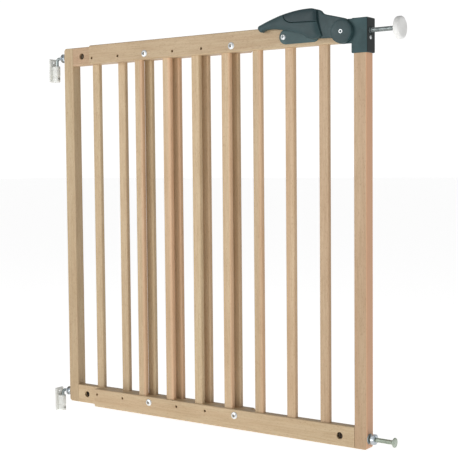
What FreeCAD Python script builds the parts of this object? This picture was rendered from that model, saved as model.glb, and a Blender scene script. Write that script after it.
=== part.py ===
"""Extending wooden safety gate for a doorway: two sliding barred panels, hook hinges and a lift latch.

Frame: +X runs across the opening from the hinge wall to the latch wall, +Z is up and -Y faces the room.
The origin is the middle of the lower wall bracket's back face. All sizes are in millimetres.
"""
import FreeCAD
import Part
import Sketcher
import os
import re

V = FreeCAD.Vector
doc = FreeCAD.newDocument("gate")

SIZES = [
    # whole gate
    ("wood_height", 730), ("gate_width", 708), ("wall_gap", 40), ("wood_rise", 2),
    # stiles, rails and bars
    ("stile_w", 25), ("stile_d", 22), ("stile_corner", 6), ("stile_edge", 1.6),
    ("rail_tall", 37), ("rail_thick", 16.5), ("rail_edge", 2), ("rail_corner", 4),
    ("front_rail_len", 600), ("rear_rail_len", 432), ("panel_gap", 0.2),
    ("bar_w", 19.5), ("bar_d", 9.5), ("bar_round", 3),
    ("front_pitch", 69), ("front_first", 115.7), ("front_tenon", 12),
    ("rear_pitch", 67.85), ("rear_first", 48.7), ("rear_tenon", 6),
    # adjusting holes, clamp screws and barrel nuts
    ("hole_pitch", 68.1), ("hole_first", 7.9), ("hole_edge", 25.6), ("hole_rad", 2.6),
    ("clamp_rad", 2.5), ("clamp_head_rad", 6), ("clamp_head_tall", 3), ("socket_rad", 2.2),
    ("socket_deep", 1.6), ("sleeve_rad", 3.9), ("sleeve_flange_rad", 7), ("sleeve_flange_thick", 1.2),
    ("barrel_rad", 6), ("barrel_len", 8), ("rear_barrel_x", 24), ("front_barrel_x", 29),
    ("snug", 0.05), ("ease", 0.2), ("recess_low", 14.5), ("recess_floor", 1.9),
    # hook hinges
    ("hook_rad", 3), ("hook_bend", 6), ("hook_reach", 12.5), ("hook_leg", 28),
    ("plate_w", 23), ("plate_tall", 48), ("plate_thick", 3), ("block_rad", 6), ("block_tall", 33),
    ("screw_rad", 2.25), ("screw_head_rad", 4.4), ("screw_span", 33), ("upper_drop", 24.1),
    ("hook_nut_rad", 7.5), ("hook_nut_len", 7), ("hook_flange_rad", 9), ("hook_flange_thick", 2.5),
    ("hook_washer_rad", 8), ("hook_washer_thick", 1.5),
    # end cap and latch
    ("cap_wall", 3), ("cap_skirt", 55.5), ("cap_round", 2), ("pivot_back", 18.5), ("disc_rad", 20),
    ("ear_rad", 20.5), ("lever_gap", 0.5), ("arm_thick", 6), ("disc_thick", 7.5), ("grip_thick", 13.5),
    ("shell_wall", 2.2), ("grip_round", 1.5), ("cover_thick", 1.6), ("seam", 0.4), ("post_rad", 2.6),
    ("post_bore", 1.25), ("cover_head_rad", 2.4), ("cover_head_tall", 1.1), ("pin_rad", 3),
    ("pin_head_rad", 3.6), ("rivet_tail_rad", 6), ("rivet_tail_thick", 1.2), ("rivet_stand", 0.2),
    ("crank_arm", 8.2), ("crank_rad", 2.5), ("half_lift", 37.5), ("slot_play", 0.3),
    ("catch_len", 82), ("catch_tall", 26), ("catch_thick", 3), ("catch_from_pivot", 128),
    ("catch_screw_rad", 4), ("catch_screw_low", 8.5), ("catch_screw_high", 10), ("sink_deep", 1.4),
    ("screw_shank_rad", 1.5), ("screw_in", 14), ("cap_screw_rad", 3.2), ("cap_screw_in", 21),
    ("striker_from_pivot", 66), ("striker_w", 5), ("striker_reach", 6.5),
    ("striker_drop", 4), ("striker_tall", 7),
    ("pawl_gap", 0.6), ("spring_rad", 1.8), ("spring_wire", 0.3), ("spring_turns", 7), ("spring_len", 13),
    # plunger, pad and lower stud
    ("plunger_rad", 6), ("plunger_start", 14.5), ("plunger_short", 1.5),
    ("yoke_set", 2), ("yoke_thick", 3.6), ("rod_rad", 4), ("rod_in", 16),
    ("pad_reach", 50.5), ("pad_rad", 19),
    ("pad_thick", 12), ("side_screw_drop", 11.8),
    ("flange_rad", 9), ("flange_thick", 2), ("port_reach", 6.7), ("port_rad", 1.1), ("bolt_rad", 5.4),
    ("stud_in", 28), ("stud_nut_rad", 11),
    ("stud_nut_thick", 7.6), ("stud_nut_out", 5), ("stud_head_rad", 8.5), ("stud_out", 49.2),
    ("stud_head_thick", 2.5), ("stud_flare", 3.5), ("pad_rim", 10), ("pad_round", 2.5),
]

# Places worked out from the sizes, as expressions that the objects below are bound to.
PLACES = {
    "left_x": "wall_gap",
    "right_x": "(wall_gap + gate_width - stile_w)",
    "end_x": "(wall_gap + gate_width)",
    "front_y": "(0 - rail_thick / 2 - panel_gap - rail_thick)",
    "rear_y": "(0 - rail_thick / 2)",
    "low_z": "wood_rise",
    "top_z": "(wood_rise + wood_height)",
    "low_mid": "(wood_rise + rail_tall / 2)",
    "top_mid": "(wood_rise + wood_height - rail_tall / 2)",
    "pivot_x": "(wall_gap + gate_width - stile_w - pivot_back)",
    "front_x": "(wall_gap + gate_width - stile_w - front_rail_len)",
    "rear_x": "(wall_gap + stile_w)",
    "lever_y": "(front_y - cap_wall - lever_gap)",
    "crank_x": "(pivot_x + crank_arm * sin(half_lift))",
    "crank_z": "(top_mid - crank_arm * cos(half_lift))",
    "upper_z": "(top_mid - upper_drop)",
}

sheet = doc.addObject("Spreadsheet::Sheet", "sizes")
for row, (alias, number) in enumerate(SIZES, start=1):
    sheet.set(f"A{row}", str(number))
    sheet.setAlias(f"A{row}", alias)
doc.recompute()
ALIASES = {alias for alias, number in SIZES}


def bound(text):
    """An expression in sheet names, from one that may also use the places above."""
    text = str(text)
    while any(re.search(rf"\b{place}\b", text) for place in PLACES):
        for place, formula in PLACES.items():
            text = re.sub(rf"\b{place}\b", formula, text)
    return re.sub(r"\b[a-z_]+\b", lambda m: f"sizes.{m[0]}" if m[0] in ALIASES else m[0], text)


def value(text):
    """The number that an expression gives with the sheet's present sizes."""
    result = sheet.evalExpression(bound(text))
    return float(getattr(result, "Value", result))


def bind(obj, **formulas):
    for key, formula in formulas.items():
        obj.setExpression(key, bound(formula))


def put(obj, x=0, y=0, z=0, turn=None):
    """Bind an object's place; turn is the rotation that goes with it."""
    if turn:
        obj.Placement = FreeCAD.Placement(V(0, 0, 0), turn)
    for axis, formula in (("x", x), ("y", y), ("z", z)):
        obj.setExpression(f"Placement.Base.{axis}", bound(formula))
    return obj


TURNS = {
    "X": FreeCAD.Rotation(V(0, 1, 0), 90),
    "Y": FreeCAD.Rotation(V(1, 0, 0), -90),
    "Z": FreeCAD.Rotation(),
}


# ---- Part primitives and booleans ----

def box(name, x, y, z, wide, deep, tall):
    obj = doc.addObject("Part::Box", name)
    bind(obj, Length=wide, Width=deep, Height=tall)
    return put(obj, x, y, z)


def rod(name, x, y, z, axis, rad, length):
    obj = doc.addObject("Part::Cylinder", name)
    bind(obj, Radius=rad, Height=length)
    return put(obj, x, y, z, TURNS[axis])


def hexagon(name, x, y, z, axis, rad, length):
    obj = doc.addObject("Part::Prism", name)
    obj.Polygon = 6
    bind(obj, Circumradius=rad, Height=length)
    return put(obj, x, y, z, TURNS[axis])


def fuse(name, *pieces):
    obj = doc.addObject("Part::MultiFuse", name)
    obj.Shapes = list(pieces)
    obj.Refine = True
    return obj


def cut(name, base, *tools):
    obj = doc.addObject("Part::Cut", name)
    obj.Base = base
    obj.Tool = tools[0] if len(tools) == 1 else group(f"{name}_tools", *tools)
    return obj


def group(name, *pieces):
    obj = doc.addObject("Part::Compound", name)
    obj.Links = list(pieces)
    return obj


def rounded(name, base, rad, chosen):
    """Round the edges of a Part object that a test on each edge's box chooses."""
    doc.recompute()
    size = value(rad)
    obj = doc.addObject("Part::Fillet", name)
    obj.Base = base
    obj.Edges = [(n, size, size) for n, edge in enumerate(base.Shape.Edges, 1) if chosen(edge)]
    return obj


# ---- PartDesign bodies ----

def new_body(name, x, y, z):
    return put(doc.addObject("PartDesign::Body", name), x, y, z)


def new_sketch(body, name, role, x=0, y=0, out=0):
    """A sketch on one of the body's own planes, moved in the plane and off it."""
    sketch = body.newObject("Sketcher::SketchObject", name)
    plane = [part for part in body.Origin.OriginFeatures if part.Role == role][0]
    sketch.AttachmentSupport = [(plane, "")]
    sketch.MapMode = "FlatFace"
    for axis, formula in (("x", x), ("y", y), ("z", out)):
        sketch.setExpression(f"AttachmentOffset.Base.{axis}", bound(formula))
    return sketch


def rectangle(body, name, role, wide, tall, x=0, y=0, out=0):
    """A rectangle whose first corner is the sketch's origin."""
    sketch = new_sketch(body, name, role, x, y, out)
    w, t = value(wide), value(tall)
    corners = [V(0, 0, 0), V(w, 0, 0), V(w, t, 0), V(0, t, 0)]
    for a, b in zip(corners, corners[1:] + corners[:1]):
        sketch.addGeometry(Part.LineSegment(a, b), False)
    for n in range(4):
        sketch.addConstraint(Sketcher.Constraint("Coincident", n, 2, (n + 1) % 4, 1))
    sketch.addConstraint([Sketcher.Constraint("Horizontal", n) for n in (0, 2)])
    sketch.addConstraint([Sketcher.Constraint("Vertical", n) for n in (1, 3)])
    sketch.addConstraint(Sketcher.Constraint("Coincident", 0, 1, -1, 1))
    for key, line, size in (("wide", 0, w), ("tall", 1, t)):
        index = sketch.addConstraint(Sketcher.Constraint("Distance", line, size))
        sketch.renameConstraint(index, key)
    bind(sketch, **{"Constraints.wide": wide, "Constraints.tall": tall})
    return sketch


def pad(body, sketch, length, backwards=False):
    feature = body.newObject("PartDesign::Pad", f"{sketch.Name}_pad")
    feature.Profile = sketch
    feature.Reversed = backwards
    bind(feature, Length=length)
    doc.recompute()
    return feature


def body_fillet(body, name, base, rad, chosen):
    feature = body.newObject("PartDesign::Fillet", name)
    picked = [f"Edge{n}" for n, edge in enumerate(base.Shape.Edges, 1) if chosen(edge)]
    feature.Base = (base, picked)
    bind(feature, Radius=rad)
    doc.recompute()
    return feature


def along(edge, axis):
    """Whether an edge is straight and runs along one axis."""
    frame = edge.BoundBox
    spans = {"x": frame.XLength, "y": frame.YLength, "z": frame.ZLength}
    return spans[axis] > 0.1 and all(spans[other] < 1e-5 for other in spans if other != axis)


def flat_in(edge, axis, place):
    """Whether an edge lies in the plane at one place on an axis."""
    frame = edge.BoundBox
    low, high = {"x": (frame.XMin, frame.XMax), "y": (frame.YMin, frame.YMax),
                 "z": (frame.ZMin, frame.ZMax)}[axis]
    return abs(low - place) < 1e-4 and abs(high - place) < 1e-4


# ---- woodwork ----

def stile_blank(name, x, y, outer_side):
    """A stile with its two outer corners well rounded and its long edges eased."""
    body = new_body(name, x, y, "low_z")
    block = pad(body, rectangle(body, f"{name}_face", "XZ_Plane", "stile_w", "wood_height"), "stile_d", True)
    outer = value("stile_w") if outer_side else 0
    corners = body_fillet(body, f"{name}_corners", block, "stile_corner",
                          lambda edge: along(edge, "y") and flat_in(edge, "x", outer))
    body_fillet(body, f"{name}_edges", corners, "stile_edge",
                lambda edge: flat_in(edge, "y", 0) or flat_in(edge, "y", value("stile_d")))
    return body


def rail_blank(name, x, y, z, length, free_end):
    """A rail whose long edges are eased; free_end is the end that joins no stile, 0 or its length."""
    body = new_body(name, x, y, z)
    block = pad(body, rectangle(body, f"{name}_face", "YZ_Plane", "rail_thick", "rail_tall"), length)
    free = value(free_end)
    corners = body_fillet(body, f"{name}_corners", block, "rail_corner",
                          lambda edge: along(edge, "y") and flat_in(edge, "x", free))
    joint = value(length) - free
    body_fillet(body, f"{name}_edges", corners, "rail_edge",
                lambda edge: not flat_in(edge, "x", joint) and
                (flat_in(edge, "y", 0) or flat_in(edge, "y", value("rail_thick"))))
    return body


def bar(name, x, y, tenon):
    body = new_body(name, x, y, f"low_z + rail_tall - {tenon}")
    block = pad(body, rectangle(body, f"{name}_face", "XY_Plane", "bar_w", "bar_d"),
                f"wood_height - 2 * rail_tall + 2 * {tenon}")
    body_fillet(body, f"{name}_edges", block, "bar_round", lambda edge: along(edge, "z"))
    return body


HOLE_COUNT = 6
CLAMPED = (2, 5)
FRONT_BARS = 7
REAR_BARS = 6


def hole_x(n):
    return f"front_x + hole_first + {n} * hole_pitch"


HOLE_LEVELS = {"lower": "low_z + hole_edge", "upper": "top_z - hole_edge"}
BAR_INSET = "(rail_thick - bar_d) / 2"

front_bars = [bar(f"front_bar_{n + 1}", f"front_x + front_first + {n} * front_pitch",
                  f"front_y + {BAR_INSET}", "front_tenon") for n in range(FRONT_BARS)]
rear_bars = [bar(f"rear_bar_{n + 1}", f"rear_x + rear_first + {n} * rear_pitch",
                 f"rear_y + {BAR_INSET}", "rear_tenon") for n in range(REAR_BARS)]


def front_rail(name, level, z):
    """A front rail: six adjusting holes, its bars' mortises, and its latch or stile fixings."""
    blank = rail_blank(f"{name}_blank", "front_x", "front_y", z, "front_rail_len", "0")
    tools = [rod(f"{name}_hole_{n}", hole_x(n), "front_y - 1", HOLE_LEVELS[level], "Y",
                 "hole_rad", "rail_thick + 2") for n in range(HOLE_COUNT)]
    if level == "upper":
        tools += [
            box(f"{name}_recess", "pivot_x - crank_arm - crank_rad - 1.3", "front_y - 1",
                "top_mid - recess_low", "pivot_back + crank_arm + crank_rad + 2.3",
                "rail_thick - recess_floor + 1", "recess_low + plunger_rad + 1"),
            rod(f"{name}_rivet_hole", "pivot_x", "front_y", "top_mid", "Y", "pin_rad + snug",
                "rail_thick + 1"),
        ]
        tools += catch_screw_holes(name)
    else:
        tools += [
            rod(f"{name}_bolt_bore", "right_x - front_barrel_x - barrel_rad - 2", "front_y + rail_thick / 2",
                "low_mid", "X", "bolt_rad + snug", "front_barrel_x + barrel_rad + 3"),
            rod(f"{name}_barrel_hole", "right_x - front_barrel_x", "front_y - 1", "low_mid", "Y",
                "barrel_rad + ease", "rail_thick + 2"),
        ]
    return cut(name, blank, *front_bars, *tools)


def catch_screw_holes(name):
    return [rod(f"{name}_pilot_{n}", catch_screw_x(n), "front_y - 1", "top_mid", "Y",
                "screw_shank_rad + snug", "screw_in")
            for n in range(2)]


def catch_screw_x(n):
    edge = "pivot_x - catch_from_pivot"
    return f"{edge} + catch_screw_low" if n == 0 else f"{edge} + catch_len - catch_screw_high"


def rear_rail(name, level, z, hook_level):
    """A rear rail: sleeve-nut holes behind the clamp screws, mortises, and its barrel nut's holes."""
    blank = rail_blank(f"{name}_blank", "rear_x", "rear_y", z, "rear_rail_len", "rear_rail_len")
    tools = [rod(f"{name}_sleeve_hole_{n}", hole_x(n), "rear_y - 1", HOLE_LEVELS[level], "Y",
                 "sleeve_rad + snug", "rail_thick + 2") for n in CLAMPED]
    tools += [
        rod(f"{name}_hook_bore", "rear_x - 1", "0", hook_level, "X", "hook_rad + snug",
            "rear_barrel_x + barrel_rad + 4"),
        rod(f"{name}_barrel_hole", "rear_x + rear_barrel_x", "rear_y - 1", hook_level, "Y",
            "barrel_rad + ease", "rail_thick + 2"),
    ]
    return cut(name, blank, *rear_bars, *tools)


def woodwork():
    left = stile_blank("left_stile_blank", "left_x", "rear_y", False)
    hook_bores = [rod(f"left_stile_bore_{n}", "left_x - 1", "0", z, "X", "hook_rad + snug", "stile_w + 2")
                  for n, z in enumerate(("low_mid", "top_mid"))]
    right = stile_blank("right_stile_blank", "right_x", "front_y", True)
    centre_y = "front_y + rail_thick / 2"
    right_bores = [
        rod("right_stile_plunger_bore", "right_x - 1", centre_y, "top_mid", "X", "plunger_rad + snug",
            "stile_w + 2"),
        rod("right_stile_bolt_bore", "right_x - 1", centre_y, "low_mid", "X", "bolt_rad + snug",
            "stile_w + 2"),
        rod("right_stile_screw_pilot", "end_x - cap_screw_in", centre_y, "top_mid - side_screw_drop", "X",
            "screw_shank_rad + snug", "cap_screw_in + 1"),
    ]
    return [
        cut("left_stile", left, *hook_bores), cut("right_stile", right, *right_bores),
        rear_rail("rear_bottom_rail", "lower", "low_z", "low_mid"),
        rear_rail("rear_top_rail", "upper", "top_z - rail_tall", "top_mid"),
        front_rail("front_bottom_rail", "lower", "low_z"),
        front_rail("front_top_rail", "upper", "top_z - rail_tall"),
        *front_bars, *rear_bars,
    ]


# ---- clamp screws and barrel nuts ----

def clamp_hardware():
    screws, sleeves = [], []
    for level, z in HOLE_LEVELS.items():
        for n in CLAMPED:
            name = f"clamp_{level}_{n}"
            blank = rod(f"{name}_blank", hole_x(n), "front_y - clamp_head_tall", z, "Y", "clamp_head_rad",
                        "clamp_head_tall")
            head = rounded(f"{name}_head", blank, "clamp_head_tall * 0.75",
                           lambda edge: flat_in(edge, "y", value("front_y - clamp_head_tall")))
            socket = hexagon(f"{name}_socket", hole_x(n), "front_y - clamp_head_tall - 1", z, "Y",
                             "socket_rad", "socket_deep + 1")
            shank = rod(f"{name}_shank", hole_x(n), "front_y - 0.2", z, "Y", "clamp_rad", "rail_thick + 0.2")
            screws.append(cut(f"{name}_screw", fuse(f"{name}_solid", head, shank), socket))
            barrel = rod(f"{name}_sleeve", hole_x(n), "rear_y", z, "Y", "sleeve_rad",
                         "rail_thick + sleeve_flange_thick")
            flange = rod(f"{name}_flange", hole_x(n), "rear_y + rail_thick", z, "Y", "sleeve_flange_rad",
                         "sleeve_flange_thick")
            bore = rod(f"{name}_bore", hole_x(n), "rear_y - 1", z, "Y", "clamp_rad", "rail_thick - 2")
            sleeves.append(cut(f"{name}_nut", fuse(f"{name}_body", barrel, flange), bore))
    return [group("clamp_screws", *screws), group("sleeve_nuts", *sleeves)]


def barrel_nut(name, x, y, z, bore_rad, whole_bore=True):
    """A cross dowel: a short round bar across the rail, with a tapped hole for the bolt."""
    body = rod(f"{name}_bar", x, f"{y} - barrel_len / 2", z, "Y", "barrel_rad", "barrel_len")
    bore = rod(f"{name}_bore", f"{x} - barrel_rad - 1", y, z, "X", bore_rad, "2 * barrel_rad + 2")
    return cut(name, body, bore)


# ---- hook hinges ----

def wall_bracket(name, z):
    """A wall plate with a socket block: the hook drops into the bore on top, screws pass along X."""
    plate = rounded(f"{name}_plate", box(f"{name}_plate_blank", 0, "0 - plate_w / 2", f"{z} - plate_tall / 2",
                                         "plate_thick", "plate_w", "plate_tall"),
                    "2.5", lambda edge: along(edge, "x"))
    base = f"{z} - plate_tall / 2"
    neck = box(f"{name}_neck", "plate_thick - 0.5", "0 - block_rad", base,
               "hook_reach - plate_thick + 0.5", "2 * block_rad", "block_tall")
    nose = rod(f"{name}_nose", "hook_reach", 0, base, "Z", "block_rad", "block_tall")
    solid = fuse(f"{name}_solid", plate, neck, nose)
    socket = rod(f"{name}_socket", "hook_reach", 0, f"{base} + block_tall - 19", "Z", "hook_rad + snug", "20")
    tools = [socket]
    for n, side in enumerate((1, -1)):
        level = f"{z} + {side} * screw_span / 2"
        tools.append(rod(f"{name}_screw_{n}", -1, 0, level, "X", "screw_rad", "hook_reach + block_rad + 2"))
    tools.append(rod(f"{name}_counterbore", "plate_thick + 1.5", 0, f"{z} - screw_span / 2", "X",
                     "screw_head_rad", "hook_reach + block_rad"))
    return cut(name, solid, *tools)


def hook(name, z):
    """A bent rod: a leg down into the bracket, a bend, and a threaded shank through stile and rail."""
    leg = rod(f"{name}_leg", "hook_reach", 0, f"{z} - hook_leg", "Z", "hook_rad", "hook_leg - hook_bend")
    bend = doc.addObject("Part::Torus", f"{name}_bend")
    bend.Angle3 = 90
    bind(bend, Radius1="hook_bend", Radius2="hook_rad")
    put(bend, "hook_reach + hook_bend", 0, f"{z} - hook_bend",
        FreeCAD.Rotation(V(0, 0, 1), V(-1, 0, 0), V(0, -1, 0), "XYZ"))
    shank = rod(f"{name}_shank", "hook_reach + hook_bend", 0, z, "X", "hook_rad",
                "wall_gap + stile_w + rear_barrel_x + barrel_rad + 1 - hook_reach - hook_bend")
    return fuse(name, leg, bend, shank)


def hinges():
    nuts, washers, barrels = [], [], []
    for side, z in (("lower", "low_mid"), ("upper", "top_mid")):
        name = f"{side}_hook"
        far = "left_x - hook_washer_thick - hook_nut_len"
        flange = rod(f"{name}_flange", f"{far} - hook_flange_thick", 0, z, "X", "hook_flange_rad",
                     "hook_flange_thick")
        six = hexagon(f"{name}_six", far, 0, z, "X", "hook_nut_rad", "hook_nut_len")
        bore = rod(f"{name}_nut_bore", f"{far} - hook_flange_thick - 1", 0, z, "X", "hook_rad + snug",
                   "hook_nut_len + hook_flange_thick + 2")
        nuts.append(cut(f"{name}_nut", fuse(f"{name}_nut_solid", flange, six), bore))
        disc = rod(f"{name}_disc", "left_x - hook_washer_thick", 0, z, "X", "hook_washer_rad",
                   "hook_washer_thick")
        hole = rod(f"{name}_disc_hole", "left_x - hook_washer_thick - 1", 0, z, "X", "hook_rad + snug",
                   "hook_washer_thick + 2")
        washers.append(cut(f"{name}_washer", disc, hole))
        barrels.append(barrel_nut(f"{name}_barrel", "rear_x + rear_barrel_x", "0", z, "hook_rad + snug"))
    return [
        wall_bracket("lower_wall_bracket", "0"), wall_bracket("upper_wall_bracket", "(upper_z)"),
        hook("lower_hinge_hook", "low_mid"), hook("upper_hinge_hook", "top_mid"),
        group("hook_nuts", *nuts), group("hook_washers", *washers), group("rear_barrel_nuts", *barrels),
    ]


# ---- end cap, catch plate and rivet ----

def end_cap():
    """A cap over the latch stile's top, with an ear over the top rail that carries the lever."""
    skirt = "top_z - cap_skirt"
    shell = rounded("cap_shell", box("cap_block", "right_x - cap_wall", "front_y - cap_wall", skirt,
                                     "stile_w + 2 * cap_wall", "stile_d + 2 * cap_wall",
                                     "cap_skirt + cap_wall"),
                    "cap_round", lambda edge: True)
    ear_disc = rod("ear_disc", "pivot_x", "front_y - cap_wall", "top_mid", "Y", "ear_rad", "cap_wall")
    ear_web = box("ear_web", "pivot_x", "front_y - cap_wall", "top_mid - ear_rad",
                  "pivot_back + cap_round", "cap_wall", "2 * ear_rad")
    inside = box("cap_inside", "right_x", "front_y", f"{skirt} - 1", "stile_w", "stile_d", "cap_skirt + 1")
    rail_way = box("cap_rail_way", "right_x - cap_wall - 1", "front_y", "top_z - rail_tall - ease",
                   "cap_wall + 2", "rail_thick + ease", "rail_tall + ease")
    rod_way = rod("cap_rod_way", "end_x - 1", "front_y + rail_thick / 2", "top_mid", "X",
                  "plunger_rad + ease", "cap_wall + 2")
    screw_way = rod("cap_screw_way", "end_x - 1", "front_y + rail_thick / 2", "top_mid - side_screw_drop",
                    "X", "screw_shank_rad + snug", "cap_wall + 2")
    pin_way = rod("cap_pin_way", "pivot_x", "front_y - cap_wall - 1", "top_mid", "Y", "pin_rad + snug",
                  "cap_wall + 2")
    sweep = "crank_arm * sin(half_lift) + crank_rad + slot_play"
    crank_way = box("cap_crank_way", f"pivot_x - ({sweep})", "front_y - cap_wall - 1",
                    "top_mid - crank_arm - crank_rad - slot_play", f"2 * ({sweep})", "cap_wall + 2",
                    "crank_arm * (1 - cos(half_lift)) + 2 * (crank_rad + slot_play)")
    return cut("end_cap", fuse("cap_solid", shell, ear_disc, ear_web), inside, rail_way, rod_way,
               screw_way, pin_way, crank_way)


def small_screw(name, x, y, z, axis, sign, head_rad, head_tall, length):
    """A round-headed screw; sign is -1 where its head is at the low end of the axis."""
    places = {"X": (1, 0), "Y": (0, 1)}[axis]
    low = 0 if sign < 0 else f"0 - ({length})"
    head_low = f"0 - ({head_tall})" if sign < 0 else 0
    shank = rod(f"{name}_shank", f"{x} + {places[0]} * ({low})", f"{y} + {places[1]} * ({low})", z, axis,
                "screw_shank_rad", length)
    head = rod(f"{name}_head", f"{x} + {places[0]} * ({head_low})", f"{y} + {places[1]} * ({head_low})", z,
               axis, head_rad, head_tall)
    return fuse(name, shank, head)


def catch_plate():
    """A long pill screwed to the rail, with a striker that reaches into the lever's hollow."""
    low_x = "pivot_x - catch_from_pivot"
    ends = [rod(f"catch_end_{n}", f"{low_x} + catch_tall / 2 + {n} * (catch_len - catch_tall)",
                "front_y - catch_thick", "top_mid", "Y", "catch_tall / 2", "catch_thick") for n in (0, 1)]
    middle = box("catch_middle", f"{low_x} + catch_tall / 2", "front_y - catch_thick",
                 "top_mid - catch_tall / 2", "catch_len - catch_tall", "catch_thick", "catch_tall")
    striker = box("catch_striker", "pivot_x - striker_from_pivot", "front_y - catch_thick - striker_reach",
                  "top_mid - striker_drop", "striker_w", "striker_reach + 1", "striker_tall")
    holes = [rod(f"catch_hole_{n}", catch_screw_x(n), "front_y - catch_thick - 1", "top_mid", "Y",
                 "screw_shank_rad + snug", "catch_thick + 2") for n in range(2)]
    sink = rod("catch_sink", catch_screw_x(1), "front_y - catch_thick - 1", "top_mid", "Y",
               "catch_screw_rad", "sink_deep + 1")
    return cut("catch_plate", fuse("catch_solid", *ends, middle, striker), *holes, sink)


def latch_fasteners():
    left_head = small_screw("catch_screw_left", catch_screw_x(0), "front_y - catch_thick", "top_mid", "Y",
                            -1, "catch_screw_rad", "1.6", "screw_in")
    right_head = small_screw("catch_screw_right", catch_screw_x(1), "front_y - catch_thick + sink_deep",
                             "top_mid", "Y", -1, "catch_screw_rad - snug", "1.2", "screw_in - sink_deep")
    side = small_screw("cap_screw", "end_x + cap_wall", "front_y + rail_thick / 2",
                       "top_mid - side_screw_drop", "X", 1, "cap_screw_rad", "1.2", "cap_screw_in")
    stand = "lever_y - disc_thick - rivet_stand"
    shank = rod("rivet_shank", "pivot_x", stand, "top_mid", "Y", "pin_rad",
                "disc_thick + lever_gap + cap_wall + rail_thick + 2 * rivet_stand")
    front = rod("rivet_front", "pivot_x", f"{stand} - 0.9", "top_mid", "Y", "pin_head_rad", "0.9")
    tail = rod("rivet_tail", "pivot_x", "front_y + rail_thick", "top_mid", "Y", "rivet_tail_rad",
               "rivet_tail_thick - panel_gap")
    dimple = rod("rivet_dimple", "pivot_x", f"{stand} - 1", "top_mid", "Y", "1.4", "0.8")
    rivet = cut("pivot_rivet", fuse("rivet_solid", shank, front, tail), dimple)
    return [group("catch_screws", left_head, right_head), side, rivet]


# ---- lever: the outlines below are in the XZ plane, about the lever's pivot ----

def arc(a, b, c):
    return Part.Arc(V(*a, 0), V(*b, 0), V(*c, 0))


def line(a, b):
    return Part.LineSegment(V(*a, 0), V(*b, 0))


def curve(*points):
    """A smooth line through the points, as a run of arcs that meet without a corner."""
    spline = Part.BSplineCurve()
    spline.interpolate([V(*point, 0) for point in points])
    return spline.toBiArcs(ARC_TOLERANCE)


ARC_TOLERANCE = 0.02
TIP = (-166, 21.5)
TIP_LOW = (-167.5, 17.5)
BEAK = (-157, 11.9)
SHOULDER = (-49, 41)
HEEL = (-37.4, -2.5)
HEEL_LOW = (-41.5, -8.1)
BELLY = (-60.5, -8.2)


def grip_edges():
    """The thick grip, from the tip along the top, down the heel and back along the belly."""
    return [
        *curve(TIP, (-140, 29.7), (-112, 37.3), (-84, 42), (-62, 43.2), SHOULDER),
        arc(SHOULDER, (-44.6, 20), HEEL), arc(HEEL, (-38, -6.6), HEEL_LOW), line(HEEL_LOW, BELLY),
        *curve(BELLY, (-76, 0.6), (-100, 7.8), (-125, 12.8), (-146, 14.4), BEAK),
        arc(BEAK, (-163.6, 12.2), TIP_LOW), line(TIP_LOW, TIP),
    ]


def arm_edges():
    """The thinner arm that runs from inside the grip to the pivot disc."""
    return [
        line((-50, 41), (-47, 41)), arc((-47, 41), (-40, 38), (-34, 32.4)), line((-34, 32.4), (0, 23.4)),
        arc((0, 23.4), (8, 20.8), (12, 15)), line((12, 15), (-6, -19)),
        arc((-6, -19), (-13, -13), (-21, -9.4)), line((-21, -9.4), (-50, -7.8)),
        line((-50, -7.8), (-50, 41)),
    ]


SEAM_START = (-113.5, 44)
SEAM_LOW = (-99, 22.2)
SEAM_END = (-30, 19.4)


def button_zone():
    """The part of the grip above the seam, drawn a little past its top and heel."""
    return [
        arc(SEAM_START, (-110, 29), SEAM_LOW), line(SEAM_LOW, SEAM_END),
        line(SEAM_END, (-30, 50)), line((-30, 50), (-113.5, 50)), line((-113.5, 50), SEAM_START),
    ]


def prism(name, edges, near, far, inset=0, shift=0):
    """A plate with an outline in XZ that lies from near to far, measured from y = 0 towards the room.

    The outline is free-form, so the shape is set directly and its sizes are read from the sheet. An inset
    outline only meets hidden faces, and is made of short straight steps. shift moves it along X and Z.
    """
    wire = Part.Wire([edge.toShape() for edge in edges])
    if inset:
        points = wire.makeOffset2D(-value(inset)).discretize(Number=90)
        wire = Part.makePolygon(points[:-1] + points[:1])
    start, stop = value(near), value(far)
    solid = Part.Face(wire).extrude(V(0, 0, stop - start))
    solid.rotate(V(0, 0, 0), V(1, 0, 0), 90)
    obj = doc.addObject("Part::Feature", name)
    obj.Shape = solid
    return put(obj, f"pivot_x + {shift}", f"0 - ({near})", f"top_mid + {shift}")


COVER_POSTS = ((-120, 24), (-76, 9.5))
TONGUE_W = 3
TONGUE_LOW = -1
SPRING_LEVEL = 10


def lever_box(name, low_x, near, low_z, wide, deep, tall):
    """A box placed from the pivot along X and Z, and from the lever's back face towards the room."""
    return box(name, f"pivot_x + ({low_x})", f"lever_y - ({near}) - ({deep})", f"top_mid + ({low_z})",
               wide, deep, tall)


def lever_rod(name, x, near, z, rad, deep):
    return rod(name, f"pivot_x + ({x})", f"lever_y - ({near}) - ({deep})", f"top_mid + ({z})", "Y", rad, deep)


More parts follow.
